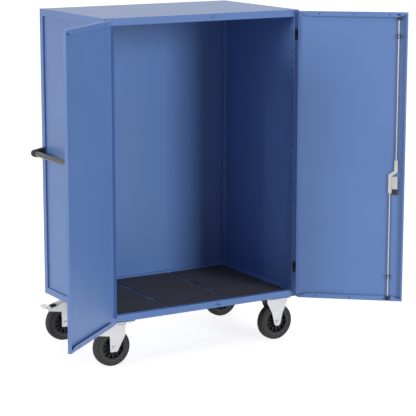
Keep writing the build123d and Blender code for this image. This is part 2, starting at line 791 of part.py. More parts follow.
# Turn handle: a plate on the door, a hub with a solid grip, and a key barrel in the hub
plate_front = pin_stand_off - escutcheon_thickness
with BuildPart() as handle_escutcheon:
    block((lock_reach - escutcheon_width / 2, lock_reach + escutcheon_width / 2),
          (plate_front, pin_stand_off),
          (lock_rise - escutcheon_height / 2, lock_rise + escutcheon_height / 2))
    fillet(handle_escutcheon.edges().filter_by(Axis.Y), escutcheon_round)
    chamfer(handle_escutcheon.faces().sort_by(Axis.Y)[0].edges(), escutcheon_thickness * edge_break_share)
    rod((lock_reach, pin_stand_off + door_sheet / 2, lock_rise), (0, 1, 0), escutcheon_boss, door_sheet)
    rod((lock_reach, pin_stand_off, lock_rise), (0, 1, 0), spindle_radius + spindle_fit,
        2 * escutcheon_thickness + cut, Mode.SUBTRACT)
save(hang(handle_escutcheon.part, "right"), "handle_escutcheon")

hub_back = plate_front - handle_gap
hub_front = hub_back - handle_grip_height
with BuildPart() as turn_handle:
    rod((lock_reach, hub_back - handle_hub_height / 2, lock_rise), (0, 1, 0), handle_hub_radius,
        handle_hub_height)
    with BuildSketch(Plane.XZ.offset(-hub_back)):
        with Locations((lock_reach + (handle_grip_width - handle_grip_length) / 2, lock_rise)):
            SlotOverall(handle_grip_length, handle_grip_width)
    extrude(amount=handle_grip_height)
    rod((lock_reach, (hub_back + hub_front) / 2, lock_rise), (0, 1, 0), handle_tower_radius,
        handle_grip_height)
    fillet(turn_handle.faces().sort_by(Axis.Y)[0].edges(), handle_round)
    rod((lock_reach, hub_front, lock_rise), (0, 1, 0), barrel_radius + barrel_fit, 2 * barrel_depth,
        Mode.SUBTRACT)
    rod((lock_reach, hub_back, lock_rise), (0, 1, 0), spindle_radius, handle_hub_height,
        Mode.SUBTRACT)
save(hang(turn_handle.part, "right"), "turn_handle")

with BuildPart() as key_barrel:
    rod((lock_reach, hub_front + (barrel_depth - barrel_proud) / 2, lock_rise), (0, 1, 0), barrel_radius,
        barrel_depth + barrel_proud)
    chamfer(key_barrel.faces().sort_by(Axis.Y)[0].edges(), barrel_proud / 2)
    with Locations((lock_reach, hub_front - barrel_proud, lock_rise)):
        Box(key_slot_width, 2 * key_slot_depth, key_slot_length, mode=Mode.SUBTRACT)
save(hang(key_barrel.part, "right"), "key_barrel")

# Push handle: a tube between two moulded brackets on the posts of the left side
push_x = -half_width - push_stand_off
bracket_y = half_depth - push_end_inset


with BuildPart() as push_handle_tube:
    tube_end = bracket_y - push_bracket_width / 2 + push_socket_depth
    rod((push_x, 0, push_rise), (0, 1, 0), push_radius, 2 * tube_end)
save(in_cabinet(push_handle_tube.part), "push_handle_tube")


def push_bracket(y_sign):
    y_low = bracket_y - push_bracket_width / 2
    ring_radius = push_radius + push_cap_wall
    foot_x = -half_width - push_foot_thickness
    pocket = push_stand_off + ring_radius
    with BuildPart() as bracket:
        with BuildSketch(Plane.XZ.offset(-y_low)):
            with Locations((push_x, push_rise)):
                Circle(ring_radius)
            with BuildLine():
                Polyline((push_x, push_rise - ring_radius), (push_x, push_rise + ring_radius),
                         (foot_x, push_rise + push_web_half), (foot_x, push_rise - push_web_half),
                         close=True)
            make_face()
            with Locations((-half_width - push_foot_thickness / 2, push_rise)):
                Rectangle(push_foot_thickness, push_foot_height)
        extrude(amount=-push_bracket_width)
        chamfer(bracket.faces().sort_by(Axis.Y)[-1].edges(), push_bracket_round)
        rod((push_x, y_low, push_rise), (0, 1, 0), push_radius, 2 * push_socket_depth, Mode.SUBTRACT)
        for rise in (-push_screw_rise, push_screw_rise):
            rod((-half_width, bracket_y, push_rise + rise), (1, 0, 0), push_screw_radius,
                2 * push_foot_thickness + cut, Mode.SUBTRACT)
            rod((foot_x - pocket / 2, bracket_y, push_rise + rise), (1, 0, 0),
                push_screw_head + push_pocket_play, pocket, Mode.SUBTRACT)
    return bracket.part if y_sign > 0 else mirror(bracket.part, about=Plane.XZ)


save(group(in_cabinet(push_bracket(s)) for s in castor_signs), "push_handle_brackets")


def push_screw(y_sign, rise):
    with BuildPart() as screw:
        head_x = -half_width - push_foot_thickness
        spot_y, spot_z = y_sign * bracket_y, push_rise + rise
        rod((head_x - push_screw_head_height / 2, spot_y, spot_z), (1, 0, 0), push_screw_head,
            push_screw_head_height)
        fillet(screw.faces().sort_by(Axis.X)[0].edges(), push_screw_head_height / 2)
        rod((head_x + push_foot_thickness / 2, spot_y, spot_z), (1, 0, 0), push_screw_radius,
            push_foot_thickness)
    return screw.part


push_rises = (-push_screw_rise, push_screw_rise)
save(group(in_cabinet(push_screw(s, rise)) for s in castor_signs for rise in push_rises),
     "push_handle_screws")


# Wheels: a solid rubber tyre on a ribbed centre that runs on the axle's sleeve
def tyre():
    shoulder_y = tyre_width / 2
    side_height = wheel_radius - tyre_shoulder - tyre_inner_radius
    grooves = [tyre_inner_radius + share * side_height for share in tyre_groove_shares]
    with BuildPart() as ring:
        with BuildSketch(Plane.XY):
            with BuildLine():
                Line((tyre_inner_radius, -shoulder_y), (tyre_inner_radius, shoulder_y))
                Line((tyre_inner_radius, shoulder_y), (wheel_radius - tyre_shoulder, shoulder_y))
                Line((tyre_inner_radius, -shoulder_y), (wheel_radius - tyre_shoulder, -shoulder_y))
                ThreePointArc((wheel_radius - tyre_shoulder, shoulder_y),
                              (wheel_radius, 0), (wheel_radius - tyre_shoulder, -shoulder_y))
            make_face()
            for groove in grooves:
                for y_sign in castor_signs:
                    with Locations((groove, y_sign * shoulder_y)):
                        Rectangle(tyre_groove_width, 2 * tyre_groove, mode=Mode.SUBTRACT)
        revolve(axis=Axis.Y)
    return ring.part


def rim():
    hub_half = fork_gap / 2 - hub_play
    bore = sleeve_radius + sleeve_fit
    with BuildPart() as centre:
        with BuildSketch(Plane.XY):
            for inner, outer, half in (
                (bore, hub_radius, hub_half),
                (hub_radius - rim_band, tyre_inner_radius - rim_band / 2, rim_web / 2),
                (tyre_inner_radius - rim_band, tyre_inner_radius, rim_width / 2),
            ):
                with Locations(((inner + outer) / 2, 0)):
                    Rectangle(outer - inner, 2 * half)
        revolve(axis=Axis.Y)
        rib_length = tyre_inner_radius - hub_radius - rim_band / 2
        with BuildSketch(Plane.XZ.offset(-rib_width / 2)):
            with PolarLocations((hub_radius + tyre_inner_radius - rim_band) / 2, rim_rib_count):
                Rectangle(rib_length, rim_rib_thickness)
        extrude(amount=rib_width)
    return centre.part


def axle(x, y):
    """Bolt, nut and running sleeve of one wheel."""
    end = fork_gap / 2 + fork_wall
    spot = (x, y, axle_height)
    with BuildPart() as bolt:
        rod(spot, (0, 1, 0), axle_radius, 2 * end)
        rod((x, y - end - axle_head_height / 2, axle_height), (0, 1, 0), axle_head_radius,
            axle_head_height)
        chamfer(bolt.faces().sort_by(Axis.Y)[0].edges(), axle_head_height * edge_break_share)
    with BuildPart() as nut:
        with BuildSketch(Plane.XZ.offset(-(y + end))):
            with Locations((x, axle_height)):
                RegularPolygon(axle_head_radius, hex_sides)
        extrude(amount=-axle_head_height)
    with BuildPart() as sleeve:
        rod(spot, (0, 1, 0), sleeve_radius, fork_gap)
        rod(spot, (0, 1, 0), axle_radius, fork_gap + cut, Mode.SUBTRACT)
    return [bolt.part, nut.part, sleeve.part]


tyre_shape = tyre()
rim_shape = rim()
wheel_places = {
    "front_left": (swivel_x - trail, cabinet_y - castor_y),
    "rear_left": (swivel_x - trail, cabinet_y + castor_y),
    "front_right": (fixed_x, cabinet_y - castor_y),
    "rear_right": (fixed_x, cabinet_y + castor_y),
}
for name, (x, y) in wheel_places.items():
    save(tyre_shape.moved(Location((x, y, axle_height))), f"tyre_{name}")
    save(rim_shape.moved(Location((x, y, axle_height))), f"rim_{name}")
save(group(axle(*wheel_places["front_right"]) + axle(*wheel_places["rear_right"])), "fixed_axles")


def plate_corners(x, y):
    """The four bolt places of a castor plate."""
    signs = [(x_sign, y_sign) for x_sign in castor_signs for y_sign in castor_signs]
    return [(x + x_sign * plate_hole_x / 2, y + y_sign * plate_hole_y / 2) for x_sign, y_sign in signs]


def castor_plate(x, y):
    """Top plate in the current part, with its bolt holes."""
    with BuildSketch(Plane.XY.offset(castor_height - plate_thickness)) as outline:
        with Locations((x, y)):
            RectangleRounded(plate_length, plate_width, plate_round)
        with Locations(*plate_corners(x, y)):
            Circle(plate_hole_radius, mode=Mode.SUBTRACT)
    extrude(outline.sketch, amount=plate_thickness)


# Fixed castors: a pressed fork with tapering legs under its plate
def fixed_fork(y):
    top = castor_height - plate_thickness
    with BuildPart() as fork:
        castor_plate(fixed_x, y)
        for y_sign in castor_signs:
            leg_y = y + y_sign * (fork_gap / 2 + fork_wall / 2)
            with BuildSketch(Plane.XZ.offset(-leg_y)):
                with BuildLine():
                    waist = axle_height + fixed_waist_rise
                    shoulder = top - fixed_shoulder_drop
                    Polyline(
                        (fixed_x - fixed_end_radius, axle_height), (fixed_x - fixed_waist_half, waist),
                        (fixed_x - fixed_top_half, shoulder), (fixed_x - fixed_top_half, top),
                        (fixed_x + fixed_top_half, top), (fixed_x + fixed_top_half, shoulder),
                        (fixed_x + fixed_waist_half, waist), (fixed_x + fixed_end_radius, axle_height))
                    ThreePointArc((fixed_x + fixed_end_radius, axle_height),
                                  (fixed_x, axle_height - fixed_end_radius),
                                  (fixed_x - fixed_end_radius, axle_height))
                make_face()
                with Locations((fixed_x, axle_height)):
                    Circle(axle_radius, mode=Mode.SUBTRACT)
            extrude(amount=fork_wall / 2, both=True)
    return fork.part


save(group(fixed_fork(cabinet_y + s * castor_y) for s in castor_signs), "fixed_forks")


# Swivel castors: the upper race hangs from the plate, and the fork turns under it on a kingpin
race_top = castor_height - plate_thickness
crown_top = race_top - race_height - race_gap - race_lower_height


def swivel_top(y):
    with BuildPart() as top:
        castor_plate(swivel_x, y)
        rod((swivel_x, y, race_top - race_height / 2), (0, 0, 1), race_radius, race_height)
        fillet(top.faces().sort_by(Axis.Z)[0].edges(), race_round)
        rod((swivel_x, y, castor_height), (0, 0, 1), kingpin_radius + kingpin_fit,
            2 * (race_height + plate_thickness) + cut, Mode.SUBTRACT)
    return top.part


def behind_axle(shares):
    """A place behind a swivel castor's axle and above it, by shares of the wheel's radius."""
    return (swivel_x - trail - shares[0] * wheel_radius, axle_height + shares[1] * wheel_radius)


def swivel_fork(y):
    crown_low = crown_top - crown_thickness
    crown_rear = swivel_x - fork_crown_rear
    arm_x, arm_low = behind_axle(fork_arm_shares)
    arm_high = arm_low + fork_arm_depth
    fender_x = swivel_x - trail - fork_fender_share * wheel_radius
    fender_z = crown_top - (crown_rear - fender_x) / (crown_rear - arm_x) * (crown_top - arm_high)
    foot_low = axle_height - fork_foot_drop
    with BuildPart() as fork:
        for y_sign in castor_signs:
            leg_y = y + y_sign * (fork_gap / 2 + fork_wall / 2)
            with BuildSketch(Plane.XZ.offset(-leg_y)) as leg:
                with BuildLine():
                    Polyline(
                        (swivel_x + fork_front, crown_top),
                        (swivel_x + fork_front, crown_top - fork_front_drop),
                        (swivel_x - trail + fork_foot_front, foot_low),
                        (swivel_x - trail - fork_foot_rear, foot_low),
                        behind_axle(fork_elbow_shares),
                        (arm_x, arm_low), (arm_x, arm_high),
                        (crown_rear, crown_top), close=True)
                make_face()
                fillet(leg.vertices().group_by(Axis.Y)[0], fork_foot_round)
                with Locations((swivel_x - trail, axle_height)):
                    Circle(axle_radius, mode=Mode.SUBTRACT)
                with Locations(behind_axle(pedal_pin_shares)):
                    Circle(pedal_pin_radius, mode=Mode.SUBTRACT)
            extrude(amount=fork_wall / 2, both=True)
        with BuildSketch(Plane.XZ.offset(-y)):
            with BuildLine():
                Polyline(
                    (swivel_x + fork_front, crown_low), (swivel_x + fork_front, crown_top),
                    (crown_rear, crown_top), (fender_x, fender_z), (fender_x, fender_z - crown_thickness),
                    (crown_rear, crown_low), close=True)
            make_face()
        extrude(amount=fork_gap / 2, both=True)
        rod((swivel_x, y, crown_top + race_lower_height / 2), (0, 0, 1), race_radius - race_round,
            race_lower_height)
        rod((swivel_x, y, crown_top), (0, 0, 1), kingpin_radius, 2 * race_height, Mode.SUBTRACT)
    return fork.part


def kingpin(y):
    crown_low = crown_top - crown_thickness
    pin_top = castor_height - race_gap
    with BuildPart() as pin:
        rod((swivel_x, y, (pin_top + crown_low) / 2), (0, 0, 1), kingpin_radius, pin_top - crown_low)
        rod((swivel_x, y, crown_low - kingpin_head_height / 2), (0, 0, 1), kingpin_head_radius,
            kingpin_head_height)
        chamfer(pin.faces().sort_by(Axis.Z)[0].edges(), kingpin_head_height * edge_break_share)
    return pin.part


# Brake pedal: a bent plate on a pin between the fork's arms, with a shoe that nears the tyre
def brake_pedal(y):
    hub_x, hub_z = behind_axle(pedal_pin_shares)
    crest_x, crest_z = behind_axle(pedal_crest_shares)
    tip_x, tip_z = behind_axle(pedal_tip_shares)
    axle_x = swivel_x - trail
    shoe_turn = math.atan2(axle_height - hub_z, axle_x - hub_x) - math.radians(pedal_shoe_angle)
    tyre_distance = math.hypot(axle_x - hub_x, axle_height - hub_z) - wheel_radius
    shoe_reach = tyre_distance - pedal_shoe_gap - pedal_shoe_radius
    shoe = (hub_x + shoe_reach * math.cos(shoe_turn), hub_z + shoe_reach * math.sin(shoe_turn))
    with BuildPart() as pedal:
        rod((hub_x, y, hub_z), (0, 1, 0), pedal_hub_radius, pedal_stem_width)
        with BuildSketch(Plane.XZ.offset(-y)):
            with Locations(shoe):
                Circle(pedal_shoe_radius)
            with Locations((hub_x, hub_z)):
                Circle(pedal_shoe_radius)
            make_hull()
        extrude(amount=pedal_stem_width / 2, both=True)
        with BuildSketch(Plane.XZ.offset(-y)):
            with BuildLine():
                Polyline(
                    (hub_x - pedal_hub_radius + pedal_wall, hub_z),
                    (crest_x, crest_z - pedal_wall / 2), (crest_x, crest_z + pedal_wall / 2),
                    (hub_x + pedal_wall, hub_z + pedal_hub_radius - pedal_wall / 2),
                    close=True)
            make_face()
        extrude(amount=pedal_stem_width / 2, both=True)
        with BuildSketch(Plane.XZ.offset(-y)):
            with BuildLine():
                Polyline(
                    (crest_x, crest_z - pedal_wall / 2), (tip_x, tip_z - pedal_wall / 2),
                    (tip_x, tip_z + pedal_wall / 2), (crest_x, crest_z + pedal_wall / 2), close=True)
            make_face()
        extrude(amount=pedal_plate_width / 2, both=True)
        rod((hub_x, y, hub_z), (0, 1, 0), pedal_pin_radius + pedal_pin_fit,
            pedal_plate_width + cut, Mode.SUBTRACT)
    return pedal.part


def pedal_pin(y):
    hub_x, hub_z = behind_axle(pedal_pin_shares)
    with BuildPart() as pin:
        rod((hub_x, y, hub_z), (0, 1, 0), pedal_pin_radius, fork_gap + 2 * fork_wall)
    return pin.part


save(group(swivel_top(cabinet_y + s * castor_y) for s in castor_signs), "swivel_top_plates")
for name, y_sign in (("front_left", -1), ("rear_left", 1)):
    castor_centre = cabinet_y + y_sign * castor_y
    save(swivel_fork(castor_centre), f"swivel_fork_{name}")
    save(kingpin(castor_centre), f"kingpin_{name}")
    save(brake_pedal(castor_centre), f"brake_pedal_{name}")
    save(group(axle(*wheel_places[name]) + [pedal_pin(castor_centre)]), f"axle_{name}")


def castor_bolt(x, y):
    """Bolt and nut that clamp a castor plate to its bearer."""
    under = castor_height - plate_thickness
    clamp_top = castor_height + bearer_wall
    with BuildPart() as bolt:
        with BuildSketch(Plane.XY.offset(under - castor_bolt_head_height)):
            with Locations((x, y)):
                RegularPolygon(castor_bolt_head, hex_sides)
        extrude(amount=castor_bolt_head_height)
        with BuildSketch(Plane.XY.offset(under)):
            with Locations((x, y)):
                Circle(castor_bolt_radius)
        extrude(amount=clamp_top + castor_nut_height - under)
    with BuildPart() as nut:
        with BuildSketch(Plane.XY.offset(clamp_top)):
            with Locations((x, y)):
                RegularPolygon(castor_bolt_head, hex_sides)
                Circle(castor_bolt_radius, mode=Mode.SUBTRACT)
        extrude(amount=castor_nut_height)
    return [bolt.part, nut.part]


bolt_set = []
for x in (swivel_x, fixed_x):
    for y_sign in castor_signs:
        for spot in plate_corners(x, cabinet_y + y_sign * castor_y):
            bolt_set += castor_bolt(*spot)
save(group(bolt_set), "castor_bolts")
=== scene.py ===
import json
import math

import bmesh
import bpy
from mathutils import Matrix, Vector

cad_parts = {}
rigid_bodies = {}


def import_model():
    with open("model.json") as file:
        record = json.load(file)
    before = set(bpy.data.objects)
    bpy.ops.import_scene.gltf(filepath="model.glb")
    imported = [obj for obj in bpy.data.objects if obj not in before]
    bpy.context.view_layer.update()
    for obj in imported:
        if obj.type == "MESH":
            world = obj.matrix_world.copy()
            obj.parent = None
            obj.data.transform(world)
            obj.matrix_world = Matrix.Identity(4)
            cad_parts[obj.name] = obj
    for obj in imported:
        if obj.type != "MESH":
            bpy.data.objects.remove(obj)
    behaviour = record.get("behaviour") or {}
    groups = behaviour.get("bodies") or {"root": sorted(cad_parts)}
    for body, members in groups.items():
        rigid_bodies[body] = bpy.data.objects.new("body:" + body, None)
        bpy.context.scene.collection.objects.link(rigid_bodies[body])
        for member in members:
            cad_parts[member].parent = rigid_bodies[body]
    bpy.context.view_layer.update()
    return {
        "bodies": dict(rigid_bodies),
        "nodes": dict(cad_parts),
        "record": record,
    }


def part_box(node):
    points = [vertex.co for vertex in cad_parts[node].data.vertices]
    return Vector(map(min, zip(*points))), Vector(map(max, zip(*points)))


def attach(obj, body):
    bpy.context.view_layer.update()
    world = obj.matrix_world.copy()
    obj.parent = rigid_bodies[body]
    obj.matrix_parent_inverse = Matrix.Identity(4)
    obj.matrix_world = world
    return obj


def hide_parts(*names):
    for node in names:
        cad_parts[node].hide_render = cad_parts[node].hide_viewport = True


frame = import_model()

# The cupboard trolley's looks. Metres, +Z up, the floor at zero, the doors towards -Y.
nodes = frame["nodes"]
record = frame["record"]
slot_of = {part["node"]: part["material_slot"] for part in record["subparts"]}
joint_of = {joint["name"]: joint for joint in record["behaviour"]["joints"]}


def middle(node):
    """The centre of a CAD piece's box."""
    low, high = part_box(node)
    return (low + high) / 2


# The cabinet's corners and sides, from its posts
cabinet_low, cabinet_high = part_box("post_front_left")[0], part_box("post_rear_right")[1]
cabinet_y = (cabinet_low.y + cabinet_high.y) / 2
cabinet_bottom, cabinet_top = cabinet_low.z, cabinet_high.z
cabinet_sides = ((cabinet_low.x, -1), (cabinet_high.x, 1))

# Sockets of a colour Mix node
mix_first, mix_second, mix_result = 6, 7, 2


class Tree:
    """A node tree, with short calls that add and link nodes."""

    def __init__(self, tree):
        self.tree = tree

    def add(self, kind, **values):
        """A new node, with plain values on its inputs."""
        node = self.tree.nodes.new("ShaderNode" + kind)
        for name, value in values.items():
            node.inputs[name.replace("_", " ")].default_value = value
        return node

    def feed(self, value, socket):
        """Put a number or a vector on a socket, or link an output to it."""
        if isinstance(value, (int, float, tuple)):
            socket.default_value = value
        else:
            self.link(value, socket)

    def link(self, source, target):
        self.tree.links.new(source, target)

    def remap(self, value, low, high, from_low=0.0, from_high=1.0):
        """A value's range stretched to a new one, with its ends as limits."""
        node = self.add("MapRange", From_Min=from_low, From_Max=from_high, To_Min=low, To_Max=high)
        self.link(value, node.inputs["Value"])
        return node.outputs["Result"]

    def math(self, operation, first, second, clamp=False):
        node = self.add("Math")
        node.operation = operation
        node.use_clamp = clamp
        self.feed(first, node.inputs[0])
        self.feed(second, node.inputs[1])
        return node.outputs[0]

    def dot(self, first, second):
        node = self.add("VectorMath")
        node.operation = "DOT_PRODUCT"
        self.feed(first, node.inputs[0])
        self.feed(second, node.inputs[1])
        return node.outputs["Value"]

    def mix(self, factor, first, second):
        """One colour blended into another by a factor."""
        node = self.add("Mix")
        node.data_type = "RGBA"
        for colour, socket in ((first, node.inputs[mix_first]), (second, node.inputs[mix_second])):
            self.feed((*colour, 1.0) if isinstance(colour, tuple) else colour, socket)
        self.link(factor, node.inputs["Factor"])
        return node.outputs[mix_result]

    def rays(self):
        """1 for rays that show a thing straight, mirrored or through glass, and 1 for mirrored ones."""
        path = self.add("LightPath").outputs
        glossy = path["Is Glossy Ray"]
        shown = self.math("ADD", path["Is Camera Ray"], glossy, clamp=True)
        return self.math("ADD", shown, path["Is Transmission Ray"], clamp=True), glossy


class Look(Tree):
    """The node tree of one new material."""

    def __init__(self, name):
        self.material = bpy.data.materials.new(name)
        self.material.use_nodes = True
        super().__init__(self.material.node_tree)
        self.shader = self.tree.nodes["Principled BSDF"]
        self.coordinate = self.add("TexCoord").outputs["Object"]

    def set(self, **values):
        """Put plain values on the shader's own sockets."""
        for name, value in values.items():
            self.shader.inputs[name.replace("_", " ")].default_value = value

    def colour(self, value):
        self.link(value, self.shader.inputs["Base Color"])

    def roughness(self, value):
        self.link(value, self.shader.inputs["Roughness"])

    def stretched(self, scale):
        """Object coordinates, stretched along each axis."""
        node = self.add("Mapping", Scale=scale)
        self.link(self.coordinate, node.inputs["Vector"])
        return node.outputs["Vector"]

    def noise(self, scale, detail=2.0, roughness=0.5, vector=None):
        node = self.add("TexNoise", Scale=scale, Detail=detail, Roughness=roughness)
        self.link(vector or self.coordinate, node.inputs["Vector"])
        return node.outputs["Fac"]

    def rounded(self, radius, samples=4):
        """Normals that round off sharp edges."""
        bevel = self.add("Bevel", Radius=radius)
        bevel.samples = samples
        return bevel.outputs["Normal"]

    def outer_edges(self, rounded):
        """1 along the edges that the rounded normals round off, 0 on flat faces."""
        turned = self.dot(rounded, self.add("NewGeometry").outputs["True Normal"])
        return self.remap(turned, 1.0, 0.0, from_low=0.7, from_high=0.98)

    def bump(self, height, distance, strength, under=None):
        """Fine relief on the surface, or on the normals that are under it."""
        node = self.add("Bump", Distance=distance, Strength=strength)
        self.link(height, node.inputs["Height"])
        if under:
            self.link(under, node.inputs["Normal"])
        self.link(node.outputs["Normal"], self.shader.inputs["Normal"])


def shade(colour, share):
    """A colour made darker or lighter."""
    return tuple(share * channel for channel in colour)


def grey(level):
    return (level, level, level)


def paint(name, colour, wear_and_highlight, roughness=0.37, grain=900.0):
    """Powder coat: orange peel, faint cloudiness, and lighter speckled edges, partly wear where the
    coat is thin and partly painted highlight.
    """
    m = Look(name)
    cloud = m.remap(m.noise(2.3, detail=3.0), 0.0, 1.0, from_low=0.3, from_high=0.7)
    mottled = m.mix(cloud, shade(colour, 0.96), shade(colour, 1.04))
    rounded = m.rounded(0.0008)
    speckle = m.remap(m.noise(70.0, detail=4.0), 0.0, 0.5, from_low=0.45, from_high=0.62)
    # Lighter speckled edges: painted highlight, and wear where the coat is thin
    m.colour(m.mix(m.math("MULTIPLY", m.outer_edges(rounded), speckle), mottled, wear_and_highlight))
    m.roughness(m.remap(m.noise(grain / 6), roughness - 0.04, roughness + 0.05))
    m.bump(m.noise(grain), distance=0.00006, strength=0.5, under=rounded)
    m.set(Specular_IOR_Level=0.6)
    return m.material


def zinc(name, colour, roughness):
    """Bright zinc plate: fine crystals, faint brushing and duller patches."""
    m = Look(name)
    patches = m.noise(38.0, detail=4.0, roughness=0.6)
    spangle = m.noise(420.0)
    dull = m.remap(patches, 0.0, 1.0, from_low=0.35, from_high=0.65)
    m.colour(m.mix(dull, shade(colour, 0.9), colour))
    m.roughness(m.remap(m.math("ADD", patches, spangle), roughness - 0.06, roughness + 0.12,
                        from_low=0.6, from_high=1.4))
    m.bump(spangle, distance=0.00004, strength=0.4, under=m.rounded(0.0012))
    m.set(Metallic=0.85)
    return m.material


def moulded(name, colour, roughness=0.55, grain=1400.0):
    """Moulded plastic with a fine texture."""
    m = Look(name)
    m.colour(m.mix(m.noise(60.0, detail=3.0), shade(colour, 0.85), shade(colour, 1.15)))
    m.roughness(m.remap(m.noise(grain / 5), roughness - 0.06, roughness + 0.06))
    m.bump(m.noise(grain), distance=0.00008, strength=0.6, under=m.rounded(0.0015))
    return m.material


def rubber(name, colour, scuff_and_highlight, roughness, painted_light_from_mesh=False):
    """Rubber with paler scuffs. A tyre instead takes the paler colour as painted light: each vertex's
    tone paints highlight on the raised rings and shade in the grooves.
    """
    m = Look(name)
    scuffs = m.noise(45.0, detail=6.0, roughness=0.65)
    # A tyre's paler colour is painted light, from each vertex's tone: highlight on raised rings, shade
    # in grooves
    if painted_light_from_mesh:
        painted_light_tone = m.add("Attribute")
        painted_light_tone.attribute_name = "painted_light_tone"
        wear_and_highlight = m.math("MULTIPLY", painted_light_tone.outputs["Fac"], m.remap(scuffs, 0.7, 1.1))
    else:
        wear_and_highlight = m.remap(scuffs, 0.0, 0.6, from_low=0.5, from_high=0.85)
    m.colour(m.mix(wear_and_highlight, colour, scuff_and_highlight))
    m.roughness(m.remap(scuffs, roughness - 0.12, roughness + 0.08))
    m.bump(m.noise(700.0, detail=4.0), distance=0.00012, strength=0.7)
    m.set(Specular_IOR_Level=0.35)
    return m.material


def brushed(name, colour, roughness):
    """Satin steel, brushed along Y."""
    m = Look(name)
    lines = m.noise(1.0, detail=3.0, roughness=0.6, vector=m.stretched((900.0, 12.0, 900.0)))
    m.colour(m.mix(lines, shade(colour, 0.8), shade(colour, 1.15)))
    m.roughness(m.remap(lines, roughness - 0.08, roughness + 0.1))
    m.bump(lines, distance=0.00003, strength=0.5)
    m.set(Metallic=0.9)
    return m.material


# The second colour of each paint is its lighter edge colour: painted highlight and wear
finish = {
    "blue_paint": paint("blue_powder_coat", (0.105, 0.205, 0.45), (0.22, 0.33, 0.56)),
    "black_paint": paint("black_powder_coat", grey(0.02), grey(0.1)),
    "grey_paint": paint("grey_powder_coat", (0.54, 0.53, 0.50), (0.58, 0.57, 0.54)),
    "zinc": zinc("bright_zinc", (0.75, 0.765, 0.78), 0.34),
    "satin_steel": brushed("satin_steel", (0.10, 0.10, 0.095), 0.27),
    "black_plastic": moulded("black_plastic", grey(0.022)),
    "mat": rubber("mat_rubber", (0.050, 0.052, 0.064), (0.078, 0.080, 0.096), 0.75),
    # The tyre's paler colour is a painted highlight on its raised rings, by each vertex's tone
    "tyre": rubber("tyre_rubber", grey(0.022), grey(0.100), 0.78, painted_light_from_mesh=True),
    "wheel_centre": moulded("wheel_plastic", grey(0.020), 0.6),
}
cream_seal = moulded("cream_seal", (0.42, 0.36, 0.26), 0.5)
white_pin = moulded("pale_pin", (0.75, 0.75, 0.72), 0.35)
# Near-black painted shade, for the bottoms of holes and slots and for the hex sockets
dark_recess = moulded("dark_recess", (0.006, 0.008, 0.02), 0.7)
glossy_black = moulded("glossy_black", grey(0.02), 0.25, grain=900.0)
rod_zinc = zinc("rod_zinc", (0.62, 0.61, 0.585), 0.4)


def dress(obj, material):
    """Give a whole object one material."""
    obj.data.materials.clear()
    obj.data.materials.append(material)


for name, obj in nodes.items():
    dress(obj, finish[slot_of[name]])
for name in ("upper_rod", "lower_rod"):
    dress(nodes[name], rod_zinc)


# Mesh helpers
sharp_angle = math.radians(32)
weld_distance = 1e-6
square = ((-1, -1), (1, -1), (1, 1), (-1, 1))


def new_object(name, data):
    obj = bpy.data.objects.new(name, data)
    bpy.context.collection.objects.link(obj)
    return obj


def piece(name, bm, material, body, smooth=True):
    """Turn a bmesh into an object that rides on a body, smooth apart from its sharp edges."""
    bmesh.ops.recalc_face_normals(bm, faces=bm.faces)
    for face in bm.faces:
        face.smooth = smooth
    for edge in bm.edges:
        edge.smooth = len(edge.link_faces) == 2 and edge.calc_face_angle(0.0) < sharp_angle
    mesh = bpy.data.meshes.new(name)
    bm.to_mesh(mesh)
    bm.free()
    obj = new_object(name, mesh)
    dress(obj, material)
    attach(obj, body)
    return obj


def weld(bm):
    bmesh.ops.remove_doubles(bm, verts=bm.verts, dist=weld_distance)


def lathe(bm, outline, centre, axis, steps):
    """A closed outline of (radius, height) points turned round an axis through the centre."""
    turn = Vector(axis).to_track_quat("Z", "Y").to_matrix()
    along = turn @ Vector((0, 0, 1))
    rings = []
    for n in range(steps):
        angle = 2 * math.pi * n / steps
        across = turn @ Vector((math.cos(angle), math.sin(angle), 0))
        rings.append([bm.verts.new(Vector(centre) + across * r + along * h) for r, h in outline])
    count = len(outline)
    for n in range(steps):
        here, there = rings[n], rings[(n + 1) % steps]
        for m in range(count):
            bm.faces.new((here[m], here[(m + 1) % count], there[(m + 1) % count], there[m]))


def loft(bm, rings):
    """Walls between rings of the same number of points, with the first and last ring capped."""
    made = [[bm.verts.new(point) for point in ring] for ring in rings]
    count = len(made[0])
    for here, there in zip(made, made[1:]):
        for n in range(count):
            bm.faces.new((here[n], here[(n + 1) % count], there[(n + 1) % count], there[n]))
    bm.faces.new(made[0][::-1])
    bm.faces.new(made[-1])


def inset(points, distance, least_turn=0.2):
    """A closed convex outline of 2-D points moved inwards by a distance."""
    area = sum(a[0] * b[1] - b[0] * a[1] for a, b in zip(points, points[1:] + points[:1]))
    sign = 1 if area > 0 else -1
    moved = []
    for n, here in enumerate(points):
        before, after = Vector(points[n - 1]), Vector(points[(n + 1) % len(points)])
        corner = Vector(here)
        first, second = (corner - before).normalized(), (after - corner).normalized()
        normals = [Vector((-side.y, side.x)) * sign for side in (first, second)]
        bisector = (normals[0] + normals[1]).normalized()
        reach = distance / max(least_turn, bisector.dot(normals[0]))
        moved.append(tuple(corner + bisector * reach))
    return moved


# Floor mat: nine tiles with rounded corners and fine ribs along X
rib_pitch = 0.006
rib_height = 0.0010
rib_top_share = 0.5
mat_joint = 0.012
mat_corner = 0.020
mat_bevel = 0.0022
mat_columns = 3
mat_row_shares = (0.34, 0.365, 0.295)
mat_low, mat_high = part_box("floor_mat")
tile_pitch = (mat_high.x - mat_low.x + mat_joint) / mat_columns
mat_depth = mat_high.y - mat_low.y + mat_joint


